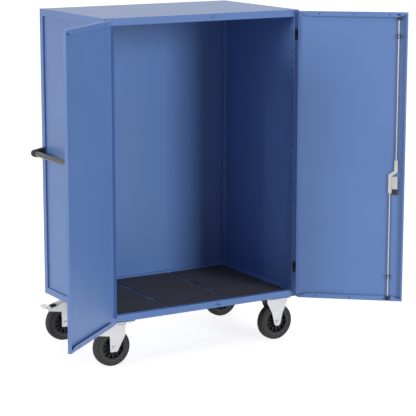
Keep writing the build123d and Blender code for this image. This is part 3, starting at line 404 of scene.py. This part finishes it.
def ribbed_tile(bm, low_x, high_x, low_y, high_y):
    """One tile: rows of ribs along X that stop short in the rounded corners."""
    count = round((high_y - low_y) / rib_pitch)
    pitch = (high_y - low_y) / count
    land = rib_top_share * pitch
    slope = (pitch - land) / 4
    valley = mat_high.z - rib_height
    stations = [(low_y, valley)]
    for n in range(count):
        foot = low_y + n * pitch + slope / 2
        stations += [(foot, valley), (foot + slope, mat_high.z), (foot + slope + land, mat_high.z),
                     (foot + 2 * slope + land, valley)]
    stations.append((high_y, valley))
    rows = []
    for y, z in stations:
        edge = min(y - low_y, high_y - y)
        short = max(0.0, mat_corner - edge)
        cut = mat_corner - math.sqrt(mat_corner ** 2 - short ** 2)
        left, right = low_x + cut, high_x - cut
        top = z - max(0.0, mat_bevel - edge)
        rim = top - mat_bevel
        rows.append([(left, y, mat_low.z), (right, y, mat_low.z), (right, y, rim),
                     (right - mat_bevel, y, top), (left + mat_bevel, y, top), (left, y, rim)])
    loft(bm, rows)


mat_mesh = bmesh.new()
for column in range(mat_columns):
    row_start = mat_low.y
    for share in mat_row_shares:
        left = mat_low.x + column * tile_pitch
        ribbed_tile(mat_mesh, left, left + tile_pitch - mat_joint,
                    row_start, row_start + share * mat_depth - mat_joint)
        row_start += share * mat_depth
mat = piece("mat_tiles", mat_mesh, finish["mat"], "cabinet", smooth=False)
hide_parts("floor_mat")


# Tyres: a lip over the rim, rings and grooves on the walls, and a crowned tread with two grooves.
# Each point of the half outline has a radius, a height over the middle plane and a tone of painted
# light: 1 for a painted highlight on the tops of the raised rings, 0 for painted shade in the grooves.
tyre_points = [
    (0.0710, 0.0, 0.0), (0.0710, 0.0213, 0.0), (0.0596, 0.0213, 0.0), (0.0588, 0.0222, 0.3),
    (0.0594, 0.0238, 0.5), (0.0606, 0.0244, 0.55), (0.0640, 0.0244, 0.5), (0.0648, 0.0222, 0.0),
    (0.0668, 0.0222, 0.0), (0.0678, 0.0246, 0.9), (0.0690, 0.0250, 1.0), (0.0728, 0.0250, 1.0),
    (0.0738, 0.0246, 0.8), (0.0746, 0.0222, 0.0), (0.0772, 0.0222, 0.0), (0.0782, 0.0244, 0.5),
    (0.0866, 0.0246, 0.5), (0.0876, 0.0224, 0.0), (0.0896, 0.0224, 0.0), (0.0906, 0.0243, 0.5),
    (0.0928, 0.0240, 0.45), (0.0956, 0.0214, 0.2), (0.0982, 0.0176, 0.1), (0.0990, 0.0150, 0.2),
    (0.0994, 0.0104, 0.3), (0.0982, 0.0098, 0.0), (0.0982, 0.0082, 0.0), (0.0997, 0.0076, 0.3),
    (0.1000, 0.0, 0.3),
]
tyre_half = [(r, h) for r, h, _ in tyre_points]
tyre_outline = tyre_half + [(r, -h) for r, h in tyre_half[:0:-1]]
tyre_digits = 5
tyre_light_tones = {(round(r, tyre_digits), round(h, tyre_digits)): tone for r, h, tone in tyre_points}
tyre_steps = 128
wheel_places = [name.removeprefix("wheel_") for name in frame["bodies"] if name.startswith("wheel_")]


def paint_tyre_light(bm, centre):
    """Note each vertex's tone of painted light, for the tyre's material."""
    layer = bm.verts.layers.float.new("painted_light_tone")
    for vert in bm.verts:
        offset = vert.co - centre
        radius, height = math.hypot(offset.x, offset.z), abs(offset.y)
        vert[layer] = tyre_light_tones[(round(radius, tyre_digits), round(height, tyre_digits))]


for place in wheel_places:
    centre = middle("tyre_" + place)
    tyre_mesh = bmesh.new()
    lathe(tyre_mesh, tyre_outline, centre, (0, 1, 0), tyre_steps)
    weld(tyre_mesh)
    # Painted highlight and painted shade on the tyre, by a tone for each vertex
    paint_tyre_light(tyre_mesh, centre)
    tyre = piece("tread_and_walls_" + place, tyre_mesh, finish["tyre"], "wheel_" + place)
    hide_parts("tyre_" + place)


# Fork legs: pressed fields, and a flange ring round each axle head and nut
axle_height = 0.100
leg_spread = 0.033
press_height = 0.0011
press_slope = 0.0045
flange_outline = [(0.0098, 0.0), (0.0130, 0.0), (0.0130, 0.0012), (0.0122, 0.0018), (0.0098, 0.0018)]
flange_steps = 48
fixed_field = [(-0.053, 0.226), (-0.053, 0.211), (-0.026, 0.154), (-0.016, 0.122), (0.016, 0.122),
               (0.026, 0.154), (0.053, 0.211), (0.053, 0.226)]
swivel_field = [(-0.010, 0.206), (-0.011, 0.118), (0.012, 0.118), (0.058, 0.168), (0.058, 0.206)]


def pressed(bm, outline, plane_y, outwards):
    """A raised field of pressed sheet on a plane across Y, with sloping sides."""
    base, top = plane_y - outwards * press_height, plane_y + outwards * press_height
    loft(bm, [[(x, base, z) for x, z in outline], [(x, plane_y, z) for x, z in outline],
              [(x, top, z) for x, z in inset(outline, press_slope)]])


for place in wheel_places:
    axle = middle("tyre_" + place)
    swivels = "castor_" + place in frame["bodies"]
    outline = [(axle.x + x, z) for x, z in (swivel_field if swivels else fixed_field)]
    legs = bmesh.new()
    for outwards in (-1, 1):
        leg_face = axle.y + outwards * leg_spread
        pressed(legs, outline, leg_face, outwards)
        lathe(legs, flange_outline, (axle.x, leg_face, axle_height), (0, outwards, 0), flange_steps)
    piece("fork_pressings_" + place, legs, finish["zinc"],
          "castor_" + place if swivels else "cabinet")

# Swivel bearings: a cream seal between the plate's race and the fork's, and the rolled rim above it
seal_outline = [(0.0385, 0.2186), (0.0412, 0.2186), (0.0426, 0.2200), (0.0428, 0.2228),
                (0.0422, 0.2240), (0.0385, 0.2240)]
rim_outline = [(0.0412, 0.2256), (0.0428, 0.2262), (0.0430, 0.2300), (0.0424, 0.2330),
               (0.0412, 0.2336)]
bearing_steps = 72
for place in ("front_left", "rear_left"):
    kingpin = middle("kingpin_" + place)
    seal, rim = bmesh.new(), bmesh.new()
    for mesh, outline in ((seal, seal_outline), (rim, rim_outline)):
        lathe(mesh, outline, (kingpin.x, kingpin.y, 0), (0, 0, 1), bearing_steps)
    piece("bearing_seal_" + place, seal, cream_seal, "cabinet")
    piece("bearing_rim_" + place, rim, finish["zinc"], "cabinet")


# Places on the open doors: along the door from its hinge, inwards from the hinge axis, and a height
door_lean = math.radians(40)
door_along = Vector((math.cos(door_lean), -math.sin(door_lean), 0))
door_inwards = Vector((-math.sin(door_lean), -math.cos(door_lean), 0))


def on_door(side, along, inwards, height):
    """A point on a door, and the direction that its inner side faces."""
    hinge = Vector(joint_of[f"door_{side}_hinge"]["pos_m"])
    place = door_along * along + door_inwards * inwards
    facing = door_inwards.copy()
    if side == "left":
        place.x, facing.x = -place.x, -facing.x
    return Vector((hinge.x + place.x, hinge.y + place.y, height)), facing


# Shaded bottoms of the round holes in the doors' lips, a little below the sheet's face
lip_face = 0.0235
lip_holes = (0.09725, 0.27925, 0.46125)
lip_heights = (cabinet_bottom + 0.0165, cabinet_bottom + 1.5235)
hole_outline = [(0.0, -0.0010), (0.0, -0.0003), (0.0030, -0.0003), (0.00345, -0.0006),
                (0.00345, -0.0010)]
hole_steps = 24
for side in ("left", "right"):
    holes = bmesh.new()
    for along in lip_holes:
        for height in lip_heights:
            place, facing = on_door(side, along, lip_face, height)
            lathe(holes, hole_outline, place, facing, hole_steps)
    weld(holes)
    piece("lip_hole_bottoms_" + side, holes, dark_recess, "door_" + side)

# Shaded bottoms of the larger holes in the posts' outer faces
post_hole_inset = 0.057
post_half_depth = 0.0175
post_hole_share = 1.13
post_hole_outline = [(post_hole_share * r, h) for r, h in hole_outline]
post_holes = bmesh.new()
for side_x, outwards in cabinet_sides:
    for post_y in (cabinet_low.y + post_half_depth, cabinet_high.y - post_half_depth):
        for height in (cabinet_bottom + post_hole_inset, cabinet_top - post_hole_inset):
            lathe(post_holes, post_hole_outline, (side_x, post_y, height), (outwards, 0, 0), hole_steps)
weld(post_holes)
piece("post_hole_bottoms", post_holes, dark_recess, "cabinet")

# Shaded bottoms of the shelf slots, a little below the posts' inner faces
post_width = 0.028
slot_setback, slot_first, slot_pitch = 0.020, 0.070, 0.050
slot_half_width, slot_half_height = 0.0029, 0.0104
slot_depths = (0.0006, 0.0014)
slot_count = 29
slots = bmesh.new()
for side_x, outwards in cabinet_sides:
    for slot_y in (cabinet_low.y + slot_setback, cabinet_high.y - slot_setback):
        for n in range(slot_count):
            slot_z = cabinet_bottom + slot_first + n * slot_pitch
            loft(slots, [[(side_x - outwards * (post_width - depth), slot_y + across * slot_half_width,
                           slot_z + up * slot_half_height) for across, up in square]
                         for depth in slot_depths])
piece("slot_bottoms", slots, dark_recess, "cabinet")


# Lock: rivets on the strap, countersunk screws in the case, and domes on the guides' pins
sunk = -0.0003
lock_height = cabinet_bottom + 0.642
lock_reach = 0.497
rod_spread = 0.015
upper_reach, lower_reach = lock_reach + rod_spread, lock_reach - rod_spread
strap_face, case_face, pin_face = 0.0175, 0.0215, 0.0229
rivet_radius, rivet_height, rivet_steps = 0.0030, 0.0012, 24
rivet_places = ((lower_reach, -0.044), (lower_reach, 0.022), (upper_reach, 0.072), (upper_reach, 0.106))
pin_radius, pin_height, pin_steps = 0.0042, 0.0022, 32
pin_places = ((upper_reach, cabinet_bottom + 1.4115), (lower_reach, cabinet_bottom + 0.134))
screw_reach = lock_reach + 0.019
screw_rises = (0.026, -0.026)
screw_radius, screw_height = 0.0026, 0.0010


def dome(radius, height, steps=5):
    """The outline of a flat dome that stands on height 0."""
    arc = [(radius * math.cos(a), height * math.sin(a)) for a in
           (math.pi / 2 * n / steps for n in range(steps + 1))]
    return [(radius, sunk), *arc[:-1], (0.0, height), (0.0, sunk)]


rivets = bmesh.new()
for along, rise in rivet_places:
    place, facing = on_door("right", along, strap_face, lock_height + rise)
    lathe(rivets, dome(rivet_radius, rivet_height), place, facing, rivet_steps)
weld(rivets)
piece("strap_rivets", rivets, finish["zinc"], "lock_upper_rod")

pins = bmesh.new()
for along, height in pin_places:
    place, facing = on_door("right", along, pin_face, height)
    lathe(pins, dome(pin_radius, pin_height), place, facing, pin_steps)
weld(pins)
piece("guide_pin_domes", pins, white_pin, "door_right")


def slotted_head(bm, place, facing, radius, height, steps=16):
    """A low cheese head: two segments with softened rims, and the floor of the slot between them."""
    turn = facing.to_track_quat("Z", "Y").to_matrix()
    half_slot, slot_floor, wall_height = 0.16 * radius, 0.35 * height, 0.7 * height
    rim_share, floor_reach = 0.92, 0.95 * radius
    start = math.asin(half_slot / radius)
    levels = []
    for side in (1, -1):
        arc = [start + (math.pi - 2 * start) * n / steps for n in range(steps + 1)]
        ring = [(radius * math.cos(a), side * radius * math.sin(a)) for a in arc]
        rim = [(rim_share * x, side * half_slot + rim_share * (y - side * half_slot)) for x, y in ring]
        levels.append(((ring, sunk), (ring, wall_height), (rim, height)))
    slab = [(across * floor_reach, up * half_slot) for across, up in square]
    levels.append(((slab, sunk), (slab, slot_floor)))
    for rings in levels:
        loft(bm, [[place + turn @ Vector((x, y, z)) for x, y in points] for points, z in rings])


screws = bmesh.new()
for rise in screw_rises:
    place, facing = on_door("right", screw_reach, case_face, lock_height + rise)
    slotted_head(screws, place, facing, screw_radius, screw_height)
piece("case_screws", screws, finish["zinc"], "door_right")


# Push handle: moulded beads round the sockets, a collar on the tube, and painted shade for the hex
# sockets in the screws, as thin near-black hexagons. Each level of a hex socket's shade has a place
# along X and a radius.
tube = middle("push_handle_tube")
bracket_low, bracket_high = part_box("push_handle_brackets")
bracket_ends = ((bracket_low.y, 1), (bracket_high.y, -1))
socket_length = 0.030
bead_shares = (0.2, 0.45, 0.7)
bead_outline = [(0.0186, -0.0016), (0.0194, -0.0013), (0.0198, 0.0), (0.0194, 0.0013),
                (0.0186, 0.0016)]
collar_outline = [(0.0141, 0.0), (0.0141, 0.0035), (0.0152, 0.0035), (0.0164, 0.0022), (0.0164, 0.0)]
bead_steps = 64
screw_setback, handle_screw_rises = 0.015, (-0.024, 0.024)
hex_levels = ((-0.5783, 0.0029), (-0.57856, 0.0025))
hexagon = [(math.cos(math.pi / 3 * n), math.sin(math.pi / 3 * n)) for n in range(6)]

beads, collars, socket_shade = bmesh.new(), bmesh.new(), bmesh.new()
for end, inwards in bracket_ends:
    for share in bead_shares:
        bead_y = end + inwards * share * socket_length
        lathe(beads, bead_outline, (tube.x, bead_y, tube.z), (0, 1, 0), bead_steps)
    mouth_y = end + inwards * socket_length
    lathe(collars, collar_outline, (tube.x, mouth_y, tube.z), (0, inwards, 0), bead_steps)
    for rise in handle_screw_rises:
        screw_y, screw_z = end + inwards * screw_setback, tube.z + rise
        loft(socket_shade, [[(x, screw_y + size * across, screw_z + size * up) for across, up in hexagon]
                       for x, size in hex_levels])
piece("socket_beads", beads, glossy_black, "cabinet")
piece("tube_collars", collars, finish["satin_steel"], "cabinet")
# Painted shade in the hex sockets of the screws
piece("screw_socket_shade", socket_shade, dark_recess, "cabinet")


# Camera, as the photograph was taken
camera_data = bpy.data.cameras.new("camera")
camera = new_object("camera", camera_data)
bpy.context.scene.camera = camera
camera_data.sensor_width = 36.0
camera_data.lens = 144.1
camera_data.clip_end = 300.0
camera_yaw = math.radians(30.555)
camera_pitch = math.radians(11.366)
camera.location = Vector((-4.277, -7.649, 2.237)) + Vector((0, cabinet_y, cabinet_bottom))
camera.rotation_euler = (math.pi / 2 - camera_pitch, 0, -camera_yaw)


# Studio: a broad upright key light from the right front, and soft lamps from the left, above and
# behind. Azimuths run from the front towards the right, in degrees.
def sun(name, azimuth, elevation, strength, width):
    """A soft lamp far away, on that side of the object."""
    light = bpy.data.lights.new(name, "SUN")
    light.energy = strength
    light.angle = math.radians(width)
    lamp = new_object(name, light)
    lamp.rotation_euler = (math.radians(90 - elevation), 0, math.radians(azimuth))
    return lamp


def upright_panel(name, azimuth, distance, height, size, power):
    """A glowing upright panel on that side of the object, turned towards it."""
    light = bpy.data.lights.new(name, "AREA")
    light.shape = "RECTANGLE"
    light.size, light.size_y = size
    light.energy = power
    lamp = new_object(name, light)
    angle = math.radians(azimuth)
    lamp.location = (distance * math.sin(angle), -distance * math.cos(angle), height)
    lamp.rotation_euler = (math.radians(90), 0, angle)
    lamp.visible_camera = False
    return lamp


key_light = upright_panel("key_light", azimuth=18, distance=40, height=7.4, size=(12.0, 14.0),
                          power=10900)
sun("side_light", azimuth=-108, elevation=16, strength=0.64, width=24)
sun("front_light", azimuth=-80, elevation=10, strength=1.35, width=14)
sun("top_light", azimuth=-20, elevation=80, strength=0.6, width=50)
back_light = sun("back_light", azimuth=165, elevation=22, strength=0.6, width=40)
for lamp in (key_light, back_light):
    lamp.visible_glossy = False

# The world is white where it is seen, and lights the object faintly violet from all sides. In
# reflections it is bright behind and to the right, and darker towards the left front.
ambient_level = 0.205
ambient_tint = (1.08, 0.85, 1.08)
bright_direction = (0.62, 0.62, 0.48)
dark_reflection_level = 0.3
world = bpy.data.worlds.new("studio")
bpy.context.scene.world = world
world.use_nodes = True
sky = Tree(world.node_tree)
background = sky.tree.nodes["Background"]
sky_shown, sky_glossy = sky.rays()
sky_side = sky.dot(sky.add("TexCoord").outputs["Generated"], bright_direction)
sheen = sky.remap(sky_side, dark_reflection_level, 1.0, from_low=-0.7, from_high=0.5)
dimmed = sky.math("MULTIPLY", sky.math("SUBTRACT", 1.0, sheen), sky_glossy)
level = sky.remap(sky_shown, ambient_level, 1.0)
sky.link(sky.math("SUBTRACT", level, dimmed), background.inputs["Strength"])
sky.link(sky.mix(sky_shown, ambient_tint, grey(1.0)), background.inputs["Color"])

# The floor is pale where it is seen, and in reflections less so towards the far right
floor_half = 60.0
floor_lift = 0.78
far_lift_share = 0.2
far_direction = (0.94, 0.34, 0.0)
far_start, far_end = 0.6, 5.0
floor_data = bpy.data.meshes.new("studio_floor")
floor_data.from_pydata([(x * floor_half, y * floor_half, 0) for x, y in square], [], [(0, 1, 2, 3)])
floor = new_object("studio_floor", floor_data)
ground = Look("studio_floor")
ground.set(Base_Color=(0.5, 0.5, 0.5, 1.0), Roughness=0.9, Specular_IOR_Level=0.1,
           Emission_Color=(1.0, 1.0, 1.0, 1.0))
ground_shown, ground_glossy = ground.rays()
far = ground.dot(ground.coordinate, far_direction)
reflected = ground.remap(far, 1.0, far_lift_share, from_low=far_start, from_high=far_end)
ground_dim = ground.math("MULTIPLY", ground_glossy, ground.math("SUBTRACT", 1.0, reflected))
lift = ground.remap(ground.math("SUBTRACT", ground_shown, ground_dim), 0.0, floor_lift)
ground.link(lift, ground.shader.inputs["Emission Strength"])
dress(floor, ground.material)

bpy.context.scene.view_settings.view_transform = "Standard"
